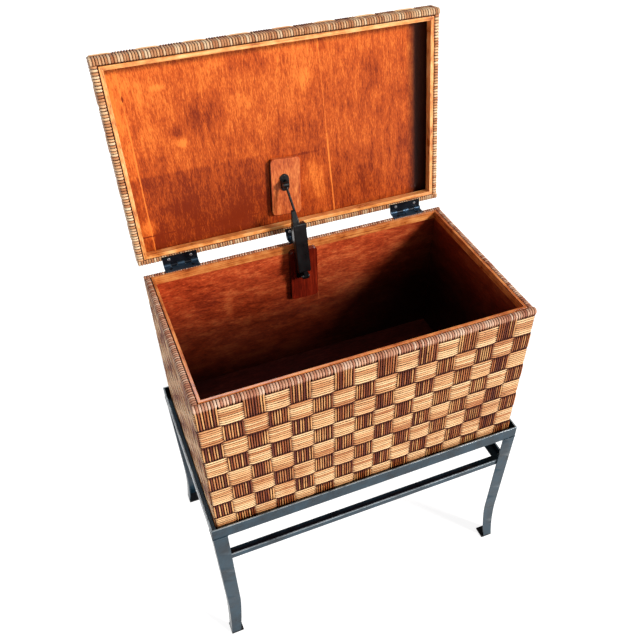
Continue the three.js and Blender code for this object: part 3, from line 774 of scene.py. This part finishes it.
def panel_marks(look, place, bands):
    """The lid panel's two veneer joints, the darker tone low on its left, a crack and its patches."""
    across, _, height = look.axes(place)
    wander = look.times(look.minus(bands, 0.5), 0.004)
    lean = look.times(look.minus(height, 1.009), 0.032)
    joint = look.minus(look.plus(across, look.plus(lean, wander)), 0.0985)
    line = look.span(look.absolute(joint), 0.0004, 0.0024, 1, 0)
    tone = look.times(line, look.span(height, 0.97, 1.0, 0.22, 0.07))
    left = look.plus(look.plus(across, wander), 0.313)
    line = look.times(look.span(look.absolute(left), 0.0003, 0.0018, 0.2, 0),
                     look.span(height, 1.08, 1.12, 1.0, 0.3))
    tone = look.plus(tone, line)
    tone = look.plus(tone, look.span(left, -0.001, 0.001, 0.05, 0.0))
    step = look.plus(look.minus(height, 0.982), look.times(wander, 1.5))
    lower = look.span(step, -0.003, 0.003, -0.05, 0)
    tone = look.plus(tone, look.times(lower, look.span(across, -0.08, -0.02, 1, 0)))
    tone = look.plus(tone, look.span(height, PANEL_FOOT, 1.19, -0.06, 0.03))
    crack = look.absolute(look.minus(look.plus(height, wander), 0.856))
    broken = look.span(look.noise(look.scaled(place, (26, 1, 1))), 0.42, 0.48, 0.0, -0.25)
    broken = look.times(broken, look.span(across, -0.06, -0.03, 1, 0))
    tone = look.plus(tone, look.times(look.span(crack, 0.0004, 0.0016, 1, 0), broken))
    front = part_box("lid_panel")[0].y
    for x, z, wide, high, value in PATCHES:
        y = front + (z - PANEL_FOOT) * PANEL_LEAN
        tone = look.plus(tone, spot(look, place, (x, y, z), (wide, 0.2, high), value))
    return tone


def timber_look(name, node, upright=1, tones=((124, 52, 20), (196, 108, 50), (234, 160, 90))):
    """A varnished lip, with fine grain along each of its four sides; upright is the shorter sides' axis."""
    look = Look(name, Coat_Weight=0.4, Coat_Roughness=0.2)
    place = look.place()
    low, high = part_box(node)
    axes = look.axes(place)
    from_side = look.minus(high.x, look.absolute(axes[0]))
    centre = (low[upright] + high[upright]) / 2
    from_end = look.absolute(look.minus(axes[upright], centre))
    from_end = look.minus(high[upright] - centre, from_end)
    is_side = look.math("LESS_THAN", from_side, from_end)
    along_x = look.noise(look.scaled(place, (9, 420, 420)), detail=3, rough=0.6)
    stretch = (420, 9, 420) if upright == 1 else (420, 420, 9)
    along_up = look.noise(look.scaled(place, stretch), detail=3, rough=0.6)
    grain = look.mix(is_side, along_x, along_up)
    patch = look.noise(place, scale=34, detail=4, rough=0.6)
    value = look.weigh((grain, 0.5), (patch, 0.5))
    colour = look.ramp(value, *[(at, rgb(*tone)) for at, tone in zip((0.36, 0.48, 0.66), tones)])
    look.bump(grain, 0.15, 0.0004)
    return look.finish(colour, look.span(patch, 0.3, 0.7, 0.26, 0.42))


def steel_look(name, dark, light, metallic, roughness, edge_highlight_at=None):
    """Blackened steel: mill mottle, drawn streaks, rubbed spots, and a painted highlight along the top edge
    at the height given.
    """
    look = Look(name, Metallic=metallic, Coat_Weight=0.15, Coat_Roughness=0.14, Specular_IOR_Level=0.35)
    place = look.place()
    mottle = look.noise(place, scale=42, detail=5, rough=0.65)
    drawn = look.noise(look.scaled(place, (14, 14, 9)), detail=4, rough=0.7, distortion=0.4)
    spots = look.noise(place, scale=310, detail=2)
    value = look.weigh((mottle, 0.5), (drawn, 0.5))
    colour = look.ramp(value, (0.36, dark), (0.66, light))
    colour = look.mix(look.span(spots, 0.6, 0.75, 0, 0.35), colour, light)
    if edge_highlight_at:
        # Painted highlight: a bright line along the flange's top edge, where it would catch the light.
        height = look.axes(place)[2]
        edge_highlight = look.span(height, edge_highlight_at - 1.1 * MM, edge_highlight_at - 0.4 * MM)
        edge_highlight = look.times(edge_highlight, look.span(drawn, 0.35, 0.6, 0.25, 0.9))
        colour = look.mix(edge_highlight, colour, rgb(190, 204, 212))
    look.bump(look.plus(mottle, look.times(spots, 0.3)), 0.1, 0.0004)
    return look.finish(colour, look.span(mottle, 0.3, 0.7, roughness - 0.08, roughness + 0.1))


# ---- finishing the CAD nodes ----
def finish_nodes(names, material, soften=0.0):
    """Gives CAD nodes their material, and a small rounding on their edges."""
    for name in names:
        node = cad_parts[name]
        node.data.materials.clear()
        node.data.materials.append(material)
        if soften:
            weld = node.modifiers.new("weld", "WELD")
            weld.merge_threshold = 0.00002
            round_off = node.modifiers.new("round", "BEVEL")
            round_off.width = soften
            round_off.segments = 2
            round_off.limit_method = "ANGLE"
            round_off.angle_limit = math.radians(35)
            round_off.harden_normals = True


def named(*starts):
    return [n for n in sorted(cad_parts) if n.startswith(starts)]


# ---- screw heads and weld beads, which only the looks have ----
def screw_heads(name, centres, radius, height, matrix):
    """Pan heads with a cross recess as one mesh. matrix turns up (+Z) into the way they face."""
    steps, around = 12, 40
    reach = np.linspace(1 / steps, 1, steps)[:, None]
    angle = np.linspace(0, 2 * math.pi, around, endpoint=False)[None]
    x, y = reach * np.cos(angle), reach * np.sin(angle)
    half, reach_of_cross = 0.2, 0.66  # the cross, in shares of the head's radius
    arm = np.clip((half - np.minimum(abs(x), abs(y))) / 0.06, 0, 1)
    recess = arm * np.clip((reach_of_cross - np.maximum(abs(x), abs(y))) / 0.1, 0, 1)
    up = height * (1 - 0.5 * reach ** 4 - 0.55 * recess)
    rows = np.stack([x * radius, y * radius, up], -1)
    foot = rows[-1:] * np.array([1, 1, 0.0])
    head = np.concatenate([[[0, 0, height * 0.45]], rows.reshape(-1, 3), foot[0]])
    ring = 1 + np.arange(steps)[:, None] * around
    step = np.arange(around)[None]
    nxt = (step + 1) % around
    quads = np.stack([ring + step, ring + around + step, ring + around + nxt, ring + nxt], -1).reshape(-1, 4)
    fan = np.stack([0 * step[0], 1 + step[0], 1 + nxt[0]], -1)
    base = 1 + steps * around + step[:, ::-1]
    vertices, polygons = [], []
    for k, centre in enumerate(centres):
        spin = np.array(Matrix.Rotation(RANDOM.uniform(0, 1.5), 3, "Z"))
        vertices.append(head @ spin.T + np.array(centre))
        polygons.append([part + k * len(head) for part in (fan, quads, base)])
    made = mesh_object(name, np.concatenate(vertices), [np.concatenate(parts) for parts in zip(*polygons)])
    made.data.transform(matrix)
    return made


LEAF_TOP = RIM + 2.3 * MM
SCREW_FROM_PIN = 12.5 * MM
BRACKET_PLATE = 2.5 * MM


def add_screws(dark, black):
    """Screws of the hinges' trunk leaves, and of the stay's two brackets."""
    places = []
    for name in named("hinge_"):
        if "screw" in name:
            low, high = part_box(name)
            places.append(((low.x + high.x) / 2, PIN.y - SCREW_FROM_PIN, LEAF_TOP))
    heads = screw_heads("hinge_screw_heads", places, 3.5 * MM, 1.4 * MM, Matrix.Identity(4))
    place_piece(heads, "trunk", dark)
    low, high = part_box("stay_bracket_trunk")
    to_face = Matrix.Translation(((low.x + high.x) / 2, high.y - BRACKET_PLATE, (low.z + high.z) / 2))
    heads = screw_heads("stay_screw_heads_trunk", [(0, 14.5 * MM, 0), (0, -14.5 * MM, 0)], 2.9 * MM, 1.3 * MM,
                        to_face @ Matrix.Rotation(math.pi / 2, 4, "X"))
    place_piece(heads, "trunk", black)
    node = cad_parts["stay_bracket_lid"]
    shut = LID_TO_ROW.inverted() @ node.matrix_world
    corners = np.array([shut @ v.co for v in node.data.vertices])
    low, high = corners.min(0), corners.max(0)
    foot = Matrix.Translation(((low[0] + high[0]) / 2, (low[1] + high[1]) / 2, high[2] - BRACKET_PLATE))
    heads = screw_heads("stay_screw_heads_lid", [(0, 14 * MM, 0), (0, -14 * MM, 0)], 2.6 * MM, 1.2 * MM,
                        LID_TO_ROW @ foot @ Matrix.Rotation(math.pi, 4, "X"))
    place_piece(heads, "lid", black)


def add_weld_beads(steel):
    """A rippled bead round each leg's outer corner, where it meets the rail."""
    strands = Strands()
    low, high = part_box("rail_front")[0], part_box("rail_back")[1]
    middle = np.array([low.x + high.x, low.y + high.y]) / 2
    half = np.array([high.x - low.x, high.y - low.y]) / 2
    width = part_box("rail_front")[1].z - low.z
    outline = Outline([(width, 0), (0, 0), (0, width)], [1.5 * MM])
    s = np.linspace(0, outline.length, 121)
    flat, tangent = outline.at(s)
    normal = np.stack([-tangent[:, 1], tangent[:, 0]], -1)
    ripple = 1 + 0.16 * np.abs(np.sin(s / (2.1 * MM) * math.pi)) - 0.1
    ripple = ripple * np.clip(np.minimum(s, outline.length - s) / (3 * MM), 0.3, 1)
    for side in ((-1, -1), (1, -1), (1, 1), (-1, 1)):
        out = -np.array(side) * normal
        point = middle + np.array(side) * (half - flat) + out * 0.1 * MM
        centre = flat3(point, low.z - 0.2 * MM)
        upward = np.zeros_like(centre) + np.array([0, 0, 1.0])
        strands.add(centre[None], upward[None], flat3(out)[None], s[None], (2.3 * MM, 1.2 * MM),
                    np.zeros((1, len(s))), ripple[None])
    place_piece(strands.build("weld_beads"), "trunk", steel)


IRON = (rgb(7, 23, 33), rgb(31, 61, 77), 0.4, 0.32)


def dress_stand():
    steel = steel_look("gunmetal", *IRON)
    finish_nodes(named("leg_"), steel, 0.7 * MM)
    for part in ("rail_", "stretcher_"):
        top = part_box(part + "front")[1].z
        # Rails and stretchers get a painted highlight along their top edges.
        finish_nodes(named(part), steel_look("gunmetal_" + part, *IRON, edge_highlight_at=top), 0.5 * MM)
    feet = steel_look("foot_black", rgb(14, 15, 17), rgb(34, 36, 40), 0.3, 0.45)
    finish_nodes(named("foot_plate_"), feet, 0.8 * MM)
    return steel


def dress_fittings():
    hinges = named("hinge_")
    blued = steel_look("blued_steel", rgb(26, 44, 62), rgb(66, 88, 108), 0.7, 0.3)
    finish_nodes([n for n in hinges if "trunk_leaf" in n or "pin" in n], blued, 0.25 * MM)
    dark = steel_look("blued_steel_dark", rgb(8, 11, 16), rgb(26, 32, 42), 0.6, 0.32)
    finish_nodes([n for n in hinges if "lid_leaf" in n], dark, 0.25 * MM)
    black = steel_look("black_steel", rgb(2, 3, 4), rgb(11, 12, 14), 0.1, 0.34)
    finish_nodes(["stay_arm", "stay_rod", "stay_bracket_trunk", "stay_bracket_lid"], black, 0.3 * MM)
    bright = steel_look("bright_steel", rgb(150, 154, 158), rgb(216, 220, 224), 0.9, 0.26)
    finish_nodes([n for n in hinges if "screw" in n] + named("stay_pin", "stay_elbow"), bright)
    return dark, black


def dress_wood():
    finish_nodes(named("wall_"), wall_look())
    floor = stained_wood("ply_floor", ((60, 20, 16), (88, 34, 28), (118, 56, 44)), (9, 30, 9), (40, 230, 40))
    finish_nodes(["floor_panel"], floor.material)
    finish_nodes(["lid_panel"], panel_look())
    # The lid frame's recess walls: a dark red stain, made darker still as painted shade.
    frame_stain_and_shade = stained_wood("ply_lid_frame", ((24, 8, 4), (42, 14, 7), (66, 24, 11)),
                          (12, 30, 30), (30, 260, 260))
    finish_nodes(["lid_frame"], frame_stain_and_shade.material)
    lid_block = block_look("ply_block_lid", ((128, 46, 18), (188, 88, 40), (226, 134, 70)),
                           (30, 30, 8), (230, 230, 16), (0.34, 0.5), 0.08)
    finish_nodes(["stay_block_lid"], lid_block, 0.6 * MM)
    trunk_block = block_look("ply_block_trunk", ((66, 12, 5), (100, 22, 9), (138, 40, 18)),
                             (24, 24, 6), (210, 210, 14), (0.16, 0.26), 0.6)
    finish_nodes(["stay_block_trunk"], trunk_block, 0.8 * MM)
    finish_nodes(["rim_lip"], timber_look("timber_trunk", "rim_lip"), 0.5 * MM)
    pale = ((160, 78, 30), (226, 144, 72), (248, 196, 128))
    finish_nodes(["lid_lip"], timber_look("timber_lid", "lid_lip", 2, pale), 0.5 * MM)
    finish_nodes(named("floor_batten"), timber_look("timber_battens", "rim_lip"), 0.5 * MM)


# ---- camera, light and floor ----
CAMERA_PLACE = Vector((-0.44597, -1.142075, 1.74075))
CAMERA_RIGHT = Vector((0.92262, -0.38570, 0.000415))
CAMERA_UP = Vector((0.26428, 0.63295, 0.72769))
CAMERA_LENS = 40.81  # mm, on a sensor 36 mm wide
CAMERA_SHIFT = (-0.0297, 0.0483)
SUN_FROM = Vector((0.578, -0.69, 0.46))
SKY = (0.02, 0.5, 0.7, 0.13)  # strength goes from 0.7 at the first height to 0.13 at the second


def make_camera():
    data = bpy.data.cameras.new("camera")
    data.sensor_width = 36
    data.lens = CAMERA_LENS
    data.shift_x, data.shift_y = CAMERA_SHIFT
    camera = bpy.data.objects.new("camera", data)
    SCENE.collection.objects.link(camera)
    turn = Matrix((CAMERA_RIGHT, CAMERA_UP, CAMERA_RIGHT.cross(CAMERA_UP))).transposed()
    camera.matrix_world = Matrix.LocRotScale(CAMERA_PLACE, turn, None)
    SCENE.camera = camera


def area_light(name, place, target, size, watts):
    data = bpy.data.lights.new(name, "AREA")
    data.size = size
    data.energy = watts
    light = bpy.data.objects.new(name, data)
    light.location = place
    light.rotation_euler = (Vector(target) - Vector(place)).to_track_quat("-Z", "Y").to_euler()
    SCENE.collection.objects.link(light)


def make_floor():
    corners = np.array([(-9, -9, 0), (9, -9, 0), (9, 9, 0), (-9, 9, 0)], float)
    floor = mesh_object("floor", corners, [np.array([[0, 1, 2, 3]])])
    look = Look("floor_white", Specular_IOR_Level=0.2, Emission_Strength=0.85, Emission_Color=(1, 1, 1, 1))
    speckle = look.noise(look.place(), scale=60, detail=2)
    floor.data.materials.append(look.finish(look.ramp(speckle, (0.4, 0.43), (0.6, 0.46)), 0.9))


def make_world():
    """A white sky, brightest at the horizon."""
    world = bpy.data.worlds.new("world")
    SCENE.world = world
    world.use_nodes = True
    nodes, links = world.node_tree.nodes, world.node_tree.links
    heights = nodes.new("ShaderNodeSeparateXYZ")
    links.new(nodes.new("ShaderNodeTexCoord").outputs["Generated"], heights.inputs[0])
    fade = nodes.new("ShaderNodeMapRange")
    for socket, value in zip(fade.inputs[1:5], SKY):
        socket.default_value = value
    links.new(heights.outputs["Z"], fade.inputs[0])
    links.new(fade.outputs[0], nodes["Background"].inputs["Strength"])
    nodes["Background"].inputs["Color"].default_value = (1, 1, 1, 1)


def make_lights():
    key = bpy.data.lights.new("key", "SUN")
    key.energy = 4.2
    key.angle = math.radians(13)
    key.color = (1, 0.97, 0.94)
    sun = bpy.data.objects.new("key", key)
    sun.rotation_euler = SUN_FROM.to_track_quat("Z", "Y").to_euler()
    SCENE.collection.objects.link(sun)
    area_light("sky", (-0.4, -2.6, 2.6), (0, 0, 0.7), 2.4, 8)
    area_light("top", (-0.1, 1.3, 3.0), (0, 0.1, 1.0), 1.2, 26)
    SCENE.view_settings.view_transform = "Standard"


make_camera()
make_floor()
make_world()
make_lights()
# The binding's wraps are pinkish pale partly as a painted sheen; the lid's are paler than the trunk's as a
# painted highlight.
weave_trunk(rattan_looks("trunk", rgb(250, 212, 184), rgb(230, 174, 140), rgb(190, 124, 94)))
weave_lid(rattan_looks("lid", rgb(252, 220, 178), rgb(236, 180, 128), rgb(196, 128, 82)))
stand_steel = dress_stand()
dark_steel, black_steel = dress_fittings()
dress_wood()
add_screws(dark_steel, black_steel)
add_weld_beads(stand_steel)
